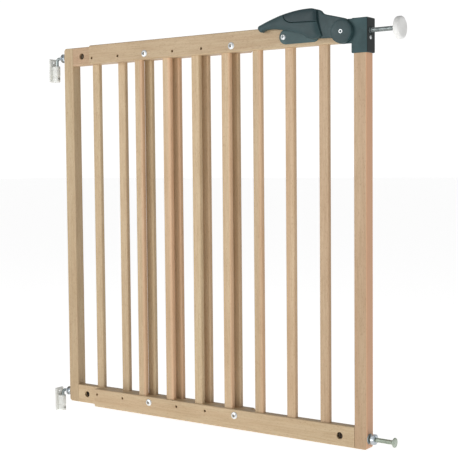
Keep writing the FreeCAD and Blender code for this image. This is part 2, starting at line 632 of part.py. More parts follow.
def lever_grip(back, front, cavity, striker_way):
    """The outer moulding: a hollow grip, open where the button sits, with the solid arm and disc."""
    grip = rounded("grip_rounded", prism("grip_block", grip_edges(), back, front), "grip_round",
                   lambda edge: flat_in(edge, "y", -value(front)))
    hollow = prism("grip_hollow", grip_edges(), f"{back} - 1", cavity, "shell_wall")
    seat = prism("cover_seat", grip_edges(), f"{back} - 1", f"{back} + cover_thick", "shell_wall / 2")
    room = prism("button_room", button_zone(), f"{back} + arm_thick", f"{front} + 1")
    disc = rounded("disc_rounded", lever_rod("disc_block", 0, 0, 0, "disc_rad", "disc_thick"), "1",
                   lambda edge: flat_in(edge, "y", value("lever_y - disc_thick")))
    posts = [lever_rod(f"post_{n}", x, "cover_thick", z, "post_rad", "grip_thick - cover_thick - 1")
             for n, (x, z) in enumerate(COVER_POSTS)]
    shell = cut("grip_shell", grip, hollow, seat, room)
    solid = fuse("lever_solid", shell, prism("arm_block", arm_edges(), back, f"{back} + arm_thick"), disc,
                 *posts)
    holes = [lever_rod(f"post_hole_{n}", x, 0, z, "post_bore", "9.2") for n, (x, z) in enumerate(COVER_POSTS)]
    holes.append(lever_rod("pin_hole", 0, -1, 0, "pin_rad + snug", "disc_thick + 2"))
    holes.append(rod("crank_hole", "crank_x", "lever_y - 4", "crank_z", "Y", "crank_rad", "5"))
    return cut("lever_grip", solid, striker_way, *holes)


def lever_cover(back, striker_way):
    """The plate that closes the grip's back, with two countersunk screws."""
    plate = prism("cover_block", grip_edges(), back, f"{back} + cover_thick", "shell_wall / 2 + snug")
    trim = lever_box("cover_trim", -50.2, -1, -30, "60", "cover_thick + 2", "90")
    holes, sinks, screws = [], [], []
    for n, (x, z) in enumerate(COVER_POSTS):
        holes.append(lever_rod(f"cover_hole_{n}", x, -1, z, "post_bore + snug", "4"))
        sinks.append(lever_rod(f"cover_sink_{n}", x, -1, z, "cover_head_rad + snug", "cover_head_tall + 1"))
        head = lever_rod(f"cover_screw_head_{n}", x, 0, z, "cover_head_rad", "cover_head_tall")
        shank = lever_rod(f"cover_screw_shank_{n}", x, 1, z, "post_bore", "8")
        screws.append(fuse(f"cover_screw_{n}", head, shank))
    cover = cut("lever_cover", plate, striker_way, trim, *holes, *sinks)
    return [cover, group("cover_screws", *screws)]


def release_button(back, front, cavity):
    """The sliding thumb panel above the seam, with a tongue down beside the striker."""
    near = f"{back} + arm_thick + seam"
    skin = rounded("button_rounded", prism("button_skin", grip_edges(), near, front), "grip_round",
                   lambda edge: flat_in(edge, "y", -value(front)))
    shape = doc.addObject("Part::Common", "button_shape")
    shape.Base = skin
    shape.Tool = prism("button_trim", button_zone(), near, f"{front} + 1", shift="seam")
    hollow = prism("button_hollow", grip_edges(), f"{near} - 1", cavity, "shell_wall")
    low = "0 - striker_from_pivot + striker_w + pawl_gap"
    tongue = lever_box("button_tongue", low, "3", TONGUE_LOW, TONGUE_W, "grip_thick - shell_wall - 3 - seam",
                       26 - TONGUE_LOW)
    root = lever_box("button_root", low, "arm_thick + seam", 24, 12, "grip_thick - arm_thick - seam - 0.8", 8)
    clear = lever_box("tongue_clear", low, "2.9", 20, TONGUE_W, "arm_thick + seam - 2.9", 30)
    shell = cut("button_shell", shape, hollow)
    button = fuse("release_button", shell, cut("button_tongue_cut", tongue, clear), root)
    return button, f"({low}) + {TONGUE_W}"


def spring(start, back):
    """A compression coil from the button's tongue to the inside of the grip's heel."""
    length = value("spring_len")
    helix = Part.makeHelix(length / value("spring_turns"), length, value("spring_rad"))
    section = Part.Wire(Part.makeCircle(value("spring_wire"), V(value("spring_rad"), 0, 0), V(0, 1, 0)))
    coil = Part.Wire(helix.Edges).makePipeShell([section], True, True)
    coil.rotate(V(0, 0, 0), V(0, 1, 0), 90)
    obj = doc.addObject("Part::Feature", "button_spring")
    obj.Shape = coil
    return put(obj, f"pivot_x + {start} + spring_wire + snug", "lever_y - 8.8", f"top_mid + {SPRING_LEVEL}")


def latch_lever():
    back = "0 - (lever_y)"
    front = f"{back} + grip_thick"
    cavity = f"{front} - shell_wall"
    striker_way = lever_box("striker_way", "0 - striker_from_pivot - 2", -1, -20, "striker_w + 5",
                            "striker_reach + 2.5", "24.5")
    button, spring_start = release_button(back, front, cavity)
    crank = rod("crank_pin", "crank_x", "lever_y - 4", "crank_z", "Y", "crank_rad",
                "4 + lever_gap + cap_wall + yoke_set + yoke_thick + 0.4")
    return [lever_grip(back, front, cavity, striker_way), *lever_cover(back, striker_way), button, crank,
            spring(spring_start, back)]


# ---- plunger, pad and lower stud ----

def plunger():
    """A tapped sleeve in the stile's bore, with a slotted yoke plate that the lever's crank pin drives."""
    centre_y = "front_y + rail_thick / 2"
    start = "pivot_x + plunger_start"
    length = "end_x + cap_wall - plunger_short - pivot_x - plunger_start"
    sleeve = rod("plunger_sleeve", start, centre_y, "top_mid", "X", "plunger_rad", length)
    play = "crank_rad + slot_play"
    drop = "crank_arm + crank_rad + slot_play + 2.3"
    plate = box("yoke_plate", f"crank_x - ({play}) - 2.6", "front_y + yoke_set", f"top_mid - ({drop})",
                f"{start} + 1 - crank_x + ({play}) + 2.6", "yoke_thick", f"({drop}) - pin_rad - slot_play")
    slot = box("yoke_slot", f"crank_x - ({play})", "front_y + yoke_set - 1",
               "top_mid - crank_arm - crank_rad - slot_play", f"2 * ({play})", "yoke_thick + 2",
               "crank_arm * (1 - cos(half_lift)) + 2 * crank_rad + slot_play + 1.2")
    bore = rod("plunger_bore", "end_x + cap_wall - plunger_short - rod_in - 9", centre_y, "top_mid", "X",
               "rod_rad + snug", "rod_in + 10")
    return cut("plunger", fuse("plunger_solid", sleeve, plate), slot, bore)


def wall_pad():
    """The threaded rod and the round pad on its end that presses on the latch wall."""
    centre_y = "front_y + rail_thick / 2"
    face = "end_x + pad_reach"
    thread = rod("pad_rod", "end_x + cap_wall - plunger_short - rod_in", centre_y, "top_mid", "X", "rod_rad",
                 "pad_reach + rod_in - cap_wall + plunger_short + 4")
    rim = rod("pad_rim", f"{face} + pad_thick - pad_rim", centre_y, "top_mid", "X", "pad_rad", "pad_rim")
    cone = doc.addObject("Part::Cone", "pad_cone")
    bind(cone, Radius1="rod_rad * 2", Radius2="pad_rad", Height="pad_thick - pad_rim")
    put(cone, face, centre_y, "top_mid", TURNS["X"])
    blank = rounded("pad_blank", fuse("pad_solid", rim, cone), "pad_round",
                    lambda edge: flat_in(edge, "x", value(f"{face} + pad_thick")) and edge.Closed)
    seat = rod("pad_seat", f"{face} - 1", centre_y, "top_mid", "X", "rod_rad", "5")
    return [thread, cut("wall_pad", blank, seat)]


def lower_fixing():
    """The flanged sleeve bolt that holds the stile, and the adjustable stud screwed into it."""
    centre_y = "front_y + rail_thick / 2"
    start = "right_x - front_barrel_x - barrel_rad - 1"
    flange = rod("sleeve_flange", "end_x", centre_y, "low_mid", "X", "flange_rad", "flange_thick")
    shank = rod("sleeve_shank", start, centre_y, "low_mid", "X", "bolt_rad", f"end_x + 1 - ({start})")
    bore = rod("sleeve_bore", "end_x - stud_in - 12", centre_y, "low_mid", "X", "rod_rad + snug",
               "stud_in + flange_thick + 13")
    ports = [rod(f"sleeve_port_{n}", "end_x + 0.6", f"{centre_y} + {side} * port_reach", "low_mid", "X",
                 "port_rad", "flange_thick") for n, side in enumerate((-1, 1))]
    bolt = cut("sleeve_bolt", fuse("sleeve_solid", flange, shank), bore, *ports)
    stem = rod("stud_stem", "end_x - stud_in", centre_y, "low_mid", "X", "rod_rad",
               "stud_in + stud_out - stud_flare - stud_head_thick")
    flare = doc.addObject("Part::Cone", "stud_flare")
    bind(flare, Radius1="rod_rad", Radius2="stud_head_rad", Height="stud_flare")
    put(flare, "end_x + stud_out - stud_flare - stud_head_thick", centre_y, "low_mid", TURNS["X"])
    head = rod("stud_head", "end_x + stud_out - stud_head_thick", centre_y, "low_mid", "X", "stud_head_rad",
               "stud_head_thick")
    nut = cut("stud_nut", hexagon("stud_hex", "end_x + stud_nut_out", centre_y, "low_mid", "X",
                                  "stud_nut_rad", "stud_nut_thick"),
              rod("stud_nut_bore", "end_x + stud_nut_out - 1", centre_y, "low_mid", "X", "rod_rad + snug",
                  "stud_nut_thick + 2"))
    return [bolt, fuse("lower_stud", stem, flare, head), nut,
            barrel_nut("front_barrel_nut", "right_x - front_barrel_x", f"({centre_y})", "low_mid",
                       "bolt_rad + snug")]


# ---- build, check and write ----

nodes = woodwork() + clamp_hardware() + hinges()
nodes += [end_cap(), catch_plate(), *latch_fasteners(), *latch_lever()]
nodes += [plunger(), *wall_pad(), *lower_fixing()]
doc.recompute()

for obj in doc.Objects:
    if "Invalid" in obj.State or "Error" in obj.State:
        raise ValueError(f"{obj.Name} did not rebuild: {obj.State}")
for node in nodes:
    if node.Shape.isNull() or not node.Shape.isValid() or not node.Shape.Solids:
        raise ValueError(f"{node.Label} has no valid solid")

os.makedirs("parts", exist_ok=True)
for node in nodes:
    node.Shape.exportStep(f"parts/{node.Label}.step")
print(len(nodes), "nodes written")
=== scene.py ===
"""A pressure-fitted wooden safety gate: beech panels, a slate plastic latch and zinc-plated fittings."""
import math

import bmesh
import bpy
from mathutils import Matrix, Vector
from mathutils.geometry import delaunay_2d_cdt


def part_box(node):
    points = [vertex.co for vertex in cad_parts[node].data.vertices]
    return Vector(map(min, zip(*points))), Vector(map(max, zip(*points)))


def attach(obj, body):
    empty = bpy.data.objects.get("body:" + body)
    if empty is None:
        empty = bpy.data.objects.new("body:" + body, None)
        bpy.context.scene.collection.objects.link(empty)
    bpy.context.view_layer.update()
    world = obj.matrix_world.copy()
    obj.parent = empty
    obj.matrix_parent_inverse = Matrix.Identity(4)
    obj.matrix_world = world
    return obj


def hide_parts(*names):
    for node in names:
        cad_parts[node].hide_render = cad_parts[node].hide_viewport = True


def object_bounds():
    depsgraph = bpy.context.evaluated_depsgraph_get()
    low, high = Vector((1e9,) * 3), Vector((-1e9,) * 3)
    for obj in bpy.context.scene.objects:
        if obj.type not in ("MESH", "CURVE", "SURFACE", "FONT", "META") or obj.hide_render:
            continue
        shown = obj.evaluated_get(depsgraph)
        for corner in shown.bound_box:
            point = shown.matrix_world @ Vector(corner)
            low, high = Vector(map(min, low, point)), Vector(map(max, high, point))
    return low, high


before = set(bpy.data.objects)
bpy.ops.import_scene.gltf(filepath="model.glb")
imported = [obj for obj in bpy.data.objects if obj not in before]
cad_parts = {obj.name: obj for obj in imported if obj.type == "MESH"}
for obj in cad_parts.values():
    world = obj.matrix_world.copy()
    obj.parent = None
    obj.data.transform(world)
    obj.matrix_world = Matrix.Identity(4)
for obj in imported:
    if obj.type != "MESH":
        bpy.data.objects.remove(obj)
cad_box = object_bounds()
MM = 0.001


# ---------------------------------------------------------------- node trees

class Socket:
    """An output of a node. Arithmetic on it adds Math nodes."""

    def __init__(self, tree, link):
        self.tree = tree
        self.link = link

    def __add__(self, other):
        return self.tree.math("ADD", self, other)

    def __sub__(self, other):
        return self.tree.math("SUBTRACT", self, other)

    def __rsub__(self, other):
        return self.tree.math("SUBTRACT", other, self)

    def __mul__(self, other):
        return self.tree.math("MULTIPLY", self, other)

    def __truediv__(self, other):
        return self.tree.math("DIVIDE", self, other)

    __radd__ = __add__
    __rmul__ = __mul__

    def step(self, low, high):
        """0 below low, 1 above high, and smooth between them."""
        return self.tree.node("ShaderNodeMapRange", {"interpolation_type": "SMOOTHSTEP"},
                              {"Value": self, "From Min": low, "From Max": high})


class Tree:
    """A node tree that is being built."""

    def __init__(self, tree):
        self.tree = tree

    def node(self, kind, settings=None, inputs=None, out=0):
        """Adds a node: its settings first, then the values or links of its sockets."""
        made = self.tree.nodes.new(kind)
        for key, setting in (settings or {}).items():
            setattr(made, key, setting)
        for key, value in (inputs or {}).items():
            self.join(made.inputs[key], value)
        return Socket(self, made.outputs[out])

    def join(self, socket, value):
        if isinstance(value, Socket):
            self.tree.links.new(value.link, socket)
        else:
            socket.default_value = value

    def math(self, operation, a, b):
        """A Math node on two values or links."""
        return self.node("ShaderNodeMath", {"operation": operation}, {0: a, 1: b})


class Finish(Tree):
    """A surface finish: constants sit on the shader's sockets, and paint() links what varies."""

    def __init__(self, name, **constants):
        self.material = bpy.data.materials.new(name)
        self.material.use_nodes = True
        super().__init__(self.material.node_tree)
        self.shader = self.tree.nodes["Principled BSDF"]
        for key, value in constants.items():
            self.shader.inputs[key.replace("_", " ")].default_value = value
        self.place = self.node("ShaderNodeTexCoord", out="Object")

    def paint(self, **varying):
        for key, value in varying.items():
            self.join(self.shader.inputs[key.replace("_", " ")], value)
        return self.material

    def stretched(self, scale, shift=(0, 0, 0)):
        """The object's own coordinates, scaled and moved."""
        return self.node("ShaderNodeMapping", None,
                         {"Vector": self.place, "Scale": scale, "Location": shift})

    def noise(self, vector, scale, detail=2.0, roughness=0.5, distortion=0.0):
        return self.node("ShaderNodeTexNoise", None,
                         {"Vector": vector, "Scale": scale, "Detail": detail,
                          "Roughness": roughness, "Distortion": distortion})

    def blend(self, factor, first, second, mode="MIX"):
        return self.node("ShaderNodeMix", {"data_type": "RGBA", "blend_type": mode},
                         {0: factor, 6: first, 7: second}, out=2)

    def bump(self, height, depth, strength=1.0):
        return self.node("ShaderNodeBump", None,
                         {"Height": height, "Distance": depth, "Strength": strength})


def tint(*levels):
    """A colour given as red, green and blue on the usual 0 to 255 scale, as linear light."""
    def linear(share):
        return share / 12.92 if share < 0.04045 else ((share + 0.055) / 1.055) ** 2.4
    return (*(linear(level / 255) for level in levels), 1)


# ---------------------------------------------------------------- finishes

GRAIN_SQUEEZE = {"x": (0.045, 1, 1), "z": (1, 1, 0.045)}
FLECK_SQUEEZE = {"x": (0.16, 1, 1), "z": (1, 1, 0.16)}


def beech(name, along, number, warmth, shade=1.0, pink_range=None):
    """Clear-lacquered beech: pale streaks along the board, faint growth bands and short dark ray flecks.

    number moves the figure, so that no two boards match. warmth runs from 0, straw, to 1, pinkish, and shade
    darkens the board. pink_range gives the X range over which a board turns pink towards its +X side, and how
    far.
    """
    wood = Finish(name, Specular_IOR_Level=0.35, Coat_Roughness=0.35, Coat_IOR=1.45)
    shift = (0.37 * number, 0.21 * number, 0.53 * number)
    along_grain = wood.stretched(GRAIN_SQUEEZE[along], shift)
    bands = wood.noise(along_grain, 55, 3, 0.55, 0.6)
    streaks = wood.noise(along_grain, 420, 4, 0.6)
    pores = wood.noise(along_grain, 1500, 2, 0.6)
    flecks = wood.noise(wood.stretched(FLECK_SQUEEZE[along], shift), 1150, 1, 0.5).step(0.60, 0.70)
    clouds = wood.noise(wood.place, 7, 2)
    straw = wood.blend(warmth, tint(208, 189, 152), tint(208, 176, 143))
    tan = wood.blend(warmth, tint(193, 164, 125), tint(191, 150, 116))
    colour = wood.blend(bands.step(0.3, 0.72) * 0.6, straw, tan)
    colour = wood.blend(streaks.step(0.35, 0.75) * 0.5, colour, tint(172, 140, 102))
    colour = wood.blend(pores.step(0.55, 0.75) * 0.28, colour, tint(150, 112, 76))
    colour = wood.blend(flecks * 0.42, colour, tint(146, 102, 66))
    colour = wood.blend(clouds.step(0.3, 0.7) * 0.16, colour, tint(226, 200, 166))
    if pink_range:
        # The board turns pinker towards its +X side over this X range.
        low, high, redness = pink_range
        across = wood.node("ShaderNodeSeparateXYZ", None, {"Vector": wood.place}, out="X").step(low, high)
        colour = wood.blend(across * redness, colour, tint(230, 176, 138))
    colour = wood.blend(1.0, colour, (shade, shade, shade, 1), "MULTIPLY")
    height = streaks * 0.5 + pores * 0.35 - flecks * 0.6
    return wood.paint(Base_Color=colour, Roughness=0.44 + streaks * 0.16 - flecks * 0.05,
                      Coat_Weight=0.10 + bands * 0.10, Normal=wood.bump(height, 0.00006, 0.6))


def moulded(name, colour, wear_and_highlight, gloss=0.42, grain=1400.0, depth=0.00003, mottled=0.9, clear=0.0,
            end=None):
    """Injection-moulded plastic with a fine spark-eroded grain, a faint flow mottle, rubbed patches and a
    painted highlight on its sharper edges.

    mottled is how dark the mottle goes, clear is how far light soaks into the plastic, and end is the X range
    over which a moulding is painted dark, as painted shade on its end face.
    """
    plastic = Finish(name, Specular_IOR_Level=0.32, Subsurface_Weight=clear, Subsurface_Scale=0.006,
                     Subsurface_Radius=(1, 1, 1))
    texture = plastic.noise(plastic.place, grain, 3, 0.65)
    mottle = plastic.noise(plastic.place, 55, 3, 0.6)
    rubbed = plastic.noise(plastic.place, 24, 4, 0.7).step(0.5, 0.75)
    edges = plastic.node("ShaderNodeNewGeometry", out="Pointiness").step(0.505, 0.56)
    base = plastic.blend(mottle.step(0.3, 0.7), tint(*colour), tint(*(mottled * c for c in colour)))
    base = plastic.blend(rubbed * 0.35, base, tint(*wear_and_highlight))
    # Painted highlight: sharp edges are lightened towards the rubbed colour, standing in for light catching
    # them.
    base = plastic.blend(edges * 0.5, base, tint(*wear_and_highlight))
    base = plastic.blend(texture.step(0.5, 0.8) * 0.18, base, tint(*wear_and_highlight))
    # Painted shade: past the end range along X the moulding is painted dark, standing in for its shaded end
    # face.
    if end:
        across = plastic.node("ShaderNodeSeparateXYZ", None, {"Vector": plastic.place}, out="X").step(*end)
        base = plastic.blend(across, base, tint(26, 33, 33))
    return plastic.paint(Base_Color=base, Roughness=gloss + texture * 0.12 - rubbed * 0.08,
                         Normal=plastic.bump(texture * 0.7 + mottle * 0.3, depth, 0.7))


def plated(name, bright, dull, gloss, turned="x", blue=0.0):
    """Zinc-plated steel: cloudy plating, fine turning lines round the axis and small dull spots."""
    metal = Finish(name, Metallic=1.0, Specular_IOR_Level=0.5)
    squeeze = {"x": (1, 0.05, 0.05), "y": (0.05, 1, 0.05), "z": (0.05, 0.05, 1)}[turned]
    lines = metal.noise(metal.stretched(squeeze), 2600, 2, 0.6)
    clouds = metal.noise(metal.place, 130, 4, 0.65)
    spots = metal.noise(metal.place, 900, 2, 0.5).step(0.62, 0.72)
    colour = metal.blend(clouds.step(0.3, 0.7), tint(*bright), tint(*dull))
    colour = metal.blend(clouds.step(0.55, 0.7) * blue, colour, tint(150, 165, 190))
    colour = metal.blend(spots * 0.35, colour, tint(96, 96, 94))
    return metal.paint(Base_Color=colour, Roughness=gloss + lines * 0.10 + clouds * 0.10 + spots * 0.12,
                       Normal=metal.bump(lines * 0.6 + clouds * 0.4, 0.00002, 0.5))


latch_slate = moulded("latch_slate", (41, 64, 67), (62, 86, 88))
button_slate = moulded("button_slate", (30, 52, 56), (50, 72, 75), 0.40)
cap_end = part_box("end_cap")[1].x
# The cap's end face carries painted shade.
cap_slate = moulded("cap_slate", (46, 72, 75), (60, 88, 90), 0.50,
                    end=(cap_end - 1.4 * MM, cap_end - 0.6 * MM))
catch_slate = moulded("catch_slate", (62, 86, 88), (78, 102, 103), 0.44)
bracket_white = moulded("bracket_white", (229, 230, 225), (234, 235, 231), 0.38, 1100, 0.00002, 0.95, 0.6)
pad_white = moulded("pad_white", (240, 240, 238), (233, 233, 231), 0.50, 700, 0.00005, 0.95, 0.4)
zinc = plated("zinc", (160, 168, 168), (112, 120, 120), 0.20)
nut_zinc = plated("nut_zinc", (206, 212, 216), (150, 160, 168), 0.22, "x", 0.45)
bright_zinc = plated("bright_zinc", (236, 239, 240), (196, 200, 202), 0.30, "y", 0.15)
dull_zinc = plated("dull_zinc", (88, 78, 66), (50, 44, 38), 0.38, "y")
head_zinc = plated("head_zinc", (186, 194, 182), (156, 166, 152), 0.34)
spring_wire = plated("spring_wire", (176, 178, 180), (128, 130, 132), 0.25)


def wear(node, finish):
    """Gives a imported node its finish."""
    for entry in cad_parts[node].material_slots:
        entry.material = finish
    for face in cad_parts[node].data.polygons:
        face.use_smooth = True


BOARDS = (
    ("left_stile", "z", 0.15), ("right_stile", "z", 0.75), ("rear_top_rail", "x", 0.9),
    ("rear_bottom_rail", "x", 0.2), ("front_top_rail", "x", 0.3), ("front_bottom_rail", "x", 0.25),
    *((f"rear_bar_{n + 1}", "z", warmth) for n, warmth in enumerate((0.2, 0.35, 0.1, 0.5, 0.6, 0.4))),
    *((f"front_bar_{n + 1}", "z", warmth) for n, warmth in enumerate((0.3, 0.5, 0.2, 0.4, 0.25, 0.6, 0.7))),
)
SHADES = {
    "front_top_rail": 0.84, "rear_top_rail": 0.84, "left_stile": 0.87, "right_stile": 0.89,
    "front_bar_7": 0.9, "rear_bar_1": 0.93, "rear_bar_2": 0.94, "front_bar_1": 0.96, "front_bar_5": 0.93,
    "front_bottom_rail": 0.95,
}
# Where a board starts to turn pink towards its +X side and where it is fully pink, as shares of its width,
# and how red.
PINK_SIDES = {
    "right_stile": (0.89, 0.98, 0.75), "front_bar_1": (0.55, 0.9, 0.3), "front_bar_2": (0.5, 0.9, 0.35),
    "front_bar_4": (0.7, 0.95, 0.3), "front_bar_5": (0.4, 0.95, 0.3), "rear_bar_4": (0.5, 0.9, 0.3),
}


def pink_side_range(board):
    """The X range over which a board turns pink towards its +X side, and its redness, or None."""
    if board not in PINK_SIDES:
        return None
    start, full, redness = PINK_SIDES[board]
    low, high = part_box(board)
    wide = high.x - low.x
    return (low.x + start * wide, low.x + full * wide, redness)


for board_number, (board, board_along, board_warmth) in enumerate(BOARDS):
    wear(board, beech(f"beech_{board}", board_along, board_number, board_warmth, SHADES.get(board, 1.0),
                      pink_side_range(board)))

FITTINGS = {
    "sleeve_nuts": zinc, "lower_hinge_hook": zinc, "upper_hinge_hook": zinc, "end_cap": cap_slate,
    "plunger": cap_slate, "lever_cover": latch_slate, "crank_pin": latch_slate, "button_spring": spring_wire,
}
for fitting, fitting_finish in FITTINGS.items():
    wear(fitting, fitting_finish)


# ---------------------------------------------------------------- shaping helpers

# Sizes in millimetres, and places in millimetres from the lever's pivot.
HOOK_X, BLOCK_RAD, FLANGE_RAD = 12.5, 6, 9
HOLE_FIRST, HOLE_PITCH, HOLE_EDGE = 7.9, 68.1, 25.6
CLAMPED_HOLES = (2, 5)
CATCH_THICK = 3
STRIKER_X = -66
CATCH_SCREWS_X = (-119.5, -56)
COVER_POSTS = ((-120, 24), (-76, 9.5))
COVER_END = -50.4
ROD_RAD = 4
BRACKET_SCREWS = 16.5

pin_low, pin_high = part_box("pivot_rivet")
PIVOT = Vector(((pin_low.x + pin_high.x) / 2, 0, (pin_low.z + pin_high.z) / 2))
LEVER_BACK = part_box("lever_grip")[1].y
PANEL_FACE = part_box("front_top_rail")[0].y


def settle(name, shape, finish, body, replaced=(), smooth=38):
    """Turns finished geometry into a piece that rides on a body."""
    mesh = bpy.data.meshes.new(name)
    bmesh.ops.recalc_face_normals(shape, faces=shape.faces)
    for face in shape.faces:
        face.smooth = True
    for edge in shape.edges:
        edge.smooth = not (edge.is_manifold and edge.calc_face_angle(0) > math.radians(smooth))
    shape.to_mesh(mesh)
    shape.free()
    mesh.materials.append(finish)
    piece = bpy.data.objects.new(name, mesh)
    bpy.context.scene.collection.objects.link(piece)
    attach(piece, body)
    if replaced:
        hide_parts(*replaced)
    return piece


def through(points, spacing):
    """Evenly spaced points on a smooth line through the given ones, ends included."""
    padded = [points[0] * 2 - points[1], *points, points[-1] * 2 - points[-2]]
    line = []
    for before, start, stop, after in zip(padded, padded[1:], padded[2:], padded[3:]):
        count = max(1, round((stop - start).length / spacing))
        for n in range(count):
            t = n / count
            line.append(0.5 * (2 * start + (stop - before) * t
                               + (2 * before - 5 * start + 4 * stop - after) * t * t
                               + (3 * start - before - 3 * stop + after) * t ** 3))
    return [*line, points[-1]]


def outline(*runs, spacing=1.3):
    """A closed outline in millimetres, from smooth runs that meet at corners."""
    loop = []
    for run in runs:
        loop += through([Vector(point) for point in run], spacing)[:-1]
    area = sum(a.cross(b) for a, b in zip(loop, loop[1:] + loop[:1]))
    return loop if area > 0 else loop[::-1]


def disc_outline(centre, rad, count=72, start=0, sweep=360):
    """Points on a circle, or on a part of one, in millimetres."""
    turns = [math.radians(start + sweep * n / count) for n in range(count)]
    return [Vector((centre[0] + rad * math.cos(t), centre[1] + rad * math.sin(t))) for t in turns]


def gap_to(point, loop):
    """The distance from a point to a closed outline."""
    nearest = 1e9
    for a, b in zip(loop, loop[1:] + loop[:1]):
        run = b - a
        t = min(1, max(0, (point - a).dot(run) / max(run.length_squared, 1e-12)))
        nearest = min(nearest, (point - a - run * t).length_squared)
    return math.sqrt(nearest)


def holds(loop, point):
    """Whether a point is inside an outline."""
    inside = False
    for a, b in zip(loop, loop[1:] + loop[:1]):
        if (a.y > point.y) != (b.y > point.y):
            if point.x < (b.x - a.x) * (point.y - a.y) / (b.y - a.y) + a.x:
                inside = not inside
    return inside


def region(loop, zone, keep_zone):
    """The outline of the part of a loop that lies inside, or outside, a zone."""
    points = [*loop, *zone]
    first = list(range(len(loop)))
    second = list(range(len(loop), len(points)))
    places, edges, faces, *_ , origins = delaunay_2d_cdt(points, [], [first, second], 1, 1e-6)
    kept = [face for face, origin in zip(faces, origins) if 0 in origin and (1 in origin) == keep_zone]
    used = {}
    for face in kept:
        for a, b in zip(face, [*face[1:], face[0]]):
            used[a, b] = True
    follow = {a: b for a, b in used if (b, a) not in used}
    start = next(iter(follow))
    chain, here = [start], follow[start]
    while here != start:
        chain.append(here)
        here = follow[here]
    return [places[n] for n in chain]


RINGS = (0.12, 0.4, 0.9, 1.6, 2.5)
GRID = 2.2


def on_lever(point, level):
    """A place from the lever's pivot, at a level measured from the lever's back face towards the room."""
    return (PIVOT.x + point.x * MM, LEVER_BACK - level * MM, PIVOT.z + point.y * MM)


def plate(shape, loop, back, front, edge_round, crown=None, at=on_lever):
    """Adds a closed moulding to shape: a flat back, upright sides and a crowned, rounded front.

    back and front are levels in millimetres, and at() turns an outline point and a level into a place.
    crown(point) is how far the front drops below its highest level.
    """
    inner = []
    for ring in RINGS:
        if ring > edge_round * 1.3:
            break
        for before, here, after in zip(loop[-1:] + loop[:-1], loop, loop[1:] + loop[:1]):
            side = (after - before).normalized()
            spot = here + Vector((-side.y, side.x)) * ring
            if holds(loop, spot) and gap_to(spot, loop) > ring * 0.93:
                inner.append(spot)
    low = Vector((min(p.x for p in loop), min(p.y for p in loop)))
    high = Vector((max(p.x for p in loop), max(p.y for p in loop)))
    for row in range(int((high.y - low.y) / GRID) + 1):
        for column in range(int((high.x - low.x) / GRID) + 1):
            spot = low + Vector((column + 0.5 * (row % 2), row)) * GRID
            if holds(loop, spot) and gap_to(spot, loop) > max(edge_round * 1.2, 0.8):
                inner.append(spot)
    places, _, faces, *_ = delaunay_2d_cdt([*loop, *inner], [], [list(range(len(loop)))], 1, 1e-6)
    count = len(loop)

    def spot(point, level):
        return shape.verts.new(at(point, level))

    front_verts = []
    for n, point in enumerate(places):
        gap = 0 if n < count else gap_to(point, loop)
        drop = edge_round - math.sqrt(max(0, edge_round ** 2 - max(0, edge_round - gap) ** 2))
        front_verts.append(spot(point, front - drop - (crown(point) if crown else 0)))
    for face in faces:
        shape.faces.new([front_verts[n] for n in face])
    below = [spot(point, back) for point in loop]
    for n in range(count):
        m = (n + 1) % count
        shape.faces.new((front_verts[n], below[n], below[m], front_verts[m]))
    close(shape, loop, below)


def close(shape, loop, verts):
    """Fills a flat outline with triangles."""
    _, _, faces, *_ = delaunay_2d_cdt(list(loop), [], [list(range(len(loop)))], 1, 1e-9)
    for face in faces:
        if max(face) < len(verts):
            shape.faces.new([verts[n] for n in face])


# ---------------------------------------------------------------- lever, button and catch

GRIP = outline(
    ((-166, 21.5), (-140, 29.9), (-112, 37.4), (-84, 42), (-62, 43.2), (-52, 42.4), (-46.8, 39.6)),
    ((-46.8, 39.6), (-44.6, 20), (-38.4, -0.5), (-37.6, -4.6), (-41.5, -8.1)),
    ((-41.5, -8.1), (-60.5, -8.2), (-76, 0.6), (-100, 7.8), (-125, 12.8), (-146, 14.4), (-156, 12.2)),
    ((-156, 12.2), (-159.5, 10.2), (-163.4, 11.8), (-167.5, 17.5), (-166, 21.5)))
BUTTON_ZONE = outline(
    ((-113.5, 44), (-112.5, 36.5), (-107.8, 27.6), (-99, 22.4), (-84, 21.0), (-30, 19.4)),
    ((-30, 19.4), (-30, 50)), ((-30, 50), (-113.5, 50)), ((-113.5, 50), (-113.5, 44)))
ARM = outline(
    ((-52, 41), (-47, 41), (-40, 38), (-34, 32.4), (-17, 27.8), (0, 23.4), (8, 20.8), (12, 15)),
    ((12, 15), (8, -10)), ((8, -10), (-6, -19)),
    ((-6, -19), (-13, -13), (-21, -9.4), (-36, -8.6), (-52, -7.8)), ((-52, -7.8), (-52, 41)))
GRIP_FRONT, BUTTON_FRONT, ARM_FRONT, DISC_FRONT = 13.5, 13.8, 6, 8
# How far the button, and the step that it sits on, are moved off the edge of the button's zone.
BUTTON_SEAM, BASE_SEAM = 0.45, 0.05


def grip_crown(point):
    """The grip swells towards its middle, and falls away to the beak and the heel."""
    gap = gap_to(point, GRIP)
    beak = max(0, -(point.x + 118)) / 50
    heel = max(0, point.x + 52) / 12
    return 2.4 * math.exp(-gap / 5.5) + 3.4 * beak ** 1.5 + 1.6 * heel ** 2


def shrunk(loop, wall):
    """An outline moved inwards by a wall thickness."""
    spots = []
    for before, here, after in zip(loop[-1:] + loop[:-1], loop, loop[1:] + loop[:1]):
        side = (after - before).normalized()
        spot = here + Vector((-side.y, side.x)) * wall
        if holds(loop, spot) and gap_to(spot, loop) > wall * 0.97:
            spots.append(spot)
    return spots


def slab(loop, back, front):
    """A flat block between two levels, at the lever."""
    block = bmesh.new()
    ends = [[block.verts.new(on_lever(point, level)) for point in loop] for level in (back, front)]
    for verts in ends:
        close(block, loop, verts)
    for n in range(len(loop)):
        m = (n + 1) % len(loop)
        block.faces.new((ends[0][n], ends[0][m], ends[1][m], ends[1][n]))
    return block


